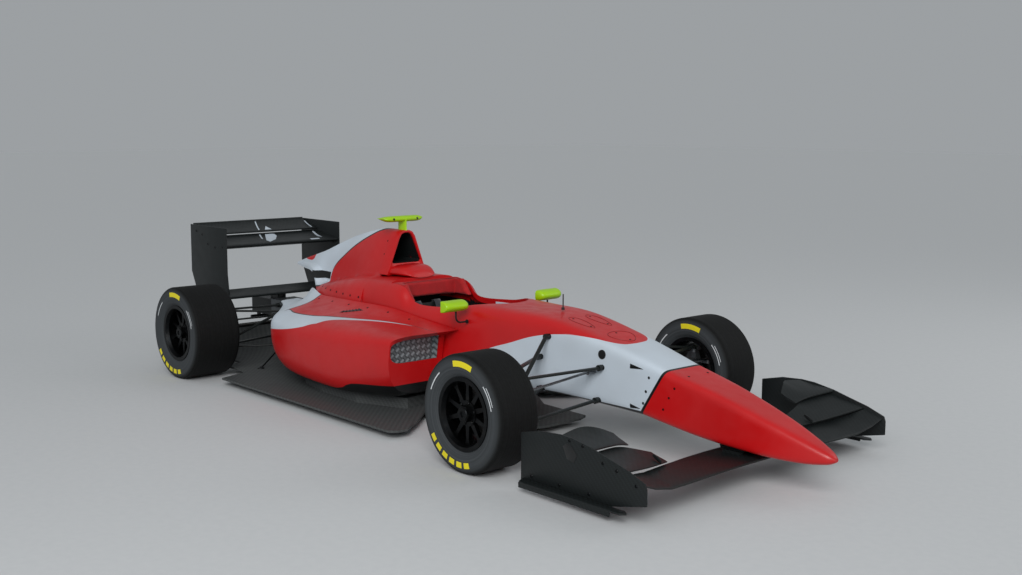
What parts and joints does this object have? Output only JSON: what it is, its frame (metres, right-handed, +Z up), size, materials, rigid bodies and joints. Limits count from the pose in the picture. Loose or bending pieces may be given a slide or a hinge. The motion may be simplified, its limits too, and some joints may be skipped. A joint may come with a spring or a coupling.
{
  "type": "open wheel racing car",
  "caption": "Open wheel single seat racing car with wings front and rear, sidepods, an open cockpit, slick tyres on spinning wheels and steered front wheels.",
  "frame": {"origin": "on the ground under the middle of the car's length and width", "axes": "+X towards the nose, +Y to the car's left, +Z up"},
  "size_m": [4.995, 1.885, 1.0766],
  "materials": {
    "body_paint": "gloss painted composite",
    "carbon_composite": "satin carbon composite",
    "floor_composite": "satin grey composite",
    "skid_wood": "pressed wood laminate",
    "fluorescent_paint": "fluorescent yellow paint",
    "foam_pad": "padded cover",
    "mirror_glass": "silvered glass",
    "cast_alloy": "cast light alloy",
    "machined_alloy": "machined light alloy",
    "dark_alloy": "dark anodised light alloy",
    "brake_steel": "ground steel",
    "tyre_rubber": "slick racing rubber",
    "light_lens": "red lens",
    "grip_plastic": "moulded grip",
    "steel_rod": "ground steel"
  },
  "bodies": {
    "chassis": {"monocoque": "body_paint", "nose_cone": "body_paint", "roll_hoop": "body_paint", "engine_cover": "body_paint", "sidepod_left": "body_paint", "sidepod_right": "body_paint", "floor": "floor_composite", "diffuser": "floor_composite", "skid_plank": "skid_wood", "front_wing_plane": "carbon_composite", "front_wing_flaps": "carbon_composite", "front_wing_plates": "carbon_composite", "rear_wing_planes": "carbon_composite", "rear_wing_plates": "carbon_composite", "beam_wing": "carbon_composite", "seat": "carbon_composite", "mirror_stalks": "carbon_composite", "crash_structure": "carbon_composite", "front_wishbones": "carbon_composite", "front_pushrods": "carbon_composite", "rear_wishbones": "carbon_composite", "rear_pushrods": "carbon_composite", "toe_links": "carbon_composite", "camera_pod": "fluorescent_paint", "mirror_housings": "fluorescent_paint", "headrest": "foam_pad", "mirror_glasses": "mirror_glass", "engine_block": "cast_alloy", "gearbox": "cast_alloy", "rain_light": "light_lens", "antenna": "grip_plastic", "rear_uprights": "machined_alloy"},
    "knuckle_left": {"front_upright_left": "machined_alloy"},
    "knuckle_right": {"front_upright_right": "machined_alloy"},
    "steering_rack": {"steering_rack": "steel_rod"},
    "steering_wheel": {"steering_wheel": "grip_plastic"},
    "wheel_front_left": {"tyre_front_left": "tyre_rubber", "rim_front_left": "dark_alloy", "hub_front_left": "brake_steel"},
    "wheel_front_right": {"tyre_front_right": "tyre_rubber", "rim_front_right": "dark_alloy", "hub_front_right": "brake_steel"},
    "wheel_rear_left": {"tyre_rear_left": "tyre_rubber", "rim_rear_left": "dark_alloy", "hub_rear_left": "brake_steel"},
    "wheel_rear_right": {"tyre_rear_right": "tyre_rubber", "rim_rear_right": "dark_alloy", "hub_rear_right": "brake_steel"}
  },
  "joints": [
    {"name": "steer_left", "type": "hinge", "parent": "chassis", "child": "knuckle_left", "pos_m": [1.0675, 0.7455, 0.2875], "axis": [0, 0, 1], "range_deg": [-18, 18]},
    {"name": "steer_right", "type": "hinge", "parent": "chassis", "child": "knuckle_right", "pos_m": [1.0675, -0.7455, 0.2875], "axis": [0, 0, 1], "range_deg": [-18, 18]},
    {"name": "rack_slide", "type": "slide", "parent": "chassis", "child": "steering_rack", "axis": [0, 1, 0], "range_m": [-0.033, 0.033]},
    {"name": "steering_wheel_turn", "type": "hinge", "parent": "chassis", "child": "steering_wheel", "pos_m": [0.2475, 0, 0.555], "axis": [-0.9781, 0, 0.2079], "range_deg": [-162, 162]},
    {"name": "spin_front_left", "type": "hinge", "parent": "knuckle_left", "child": "wheel_front_left", "pos_m": [1.0675, 0.8175, 0.2875], "axis": [0, 1, 0], "continuous": true},
    {"name": "spin_front_right", "type": "hinge", "parent": "knuckle_right", "child": "wheel_front_right", "pos_m": [1.0675, -0.8175, 0.2875], "axis": [0, 1, 0], "continuous": true},
    {"name": "spin_rear_left", "type": "hinge", "parent": "chassis", "child": "wheel_rear_left", "pos_m": [-1.8125, 0.785, 0.295], "axis": [0, 1, 0], "continuous": true},
    {"name": "spin_rear_right", "type": "hinge", "parent": "chassis", "child": "wheel_rear_right", "pos_m": [-1.8125, -0.785, 0.295], "axis": [0, 1, 0], "continuous": true}
  ],
  "couplings": [
    {"joint": "steer_right", "follows": "steer_left", "ratio": 1},
    {"joint": "rack_slide", "follows": "steer_left", "m_per_rad": 0.105},
    {"joint": "steering_wheel_turn", "follows": "steer_left", "ratio": 9}
  ]
}
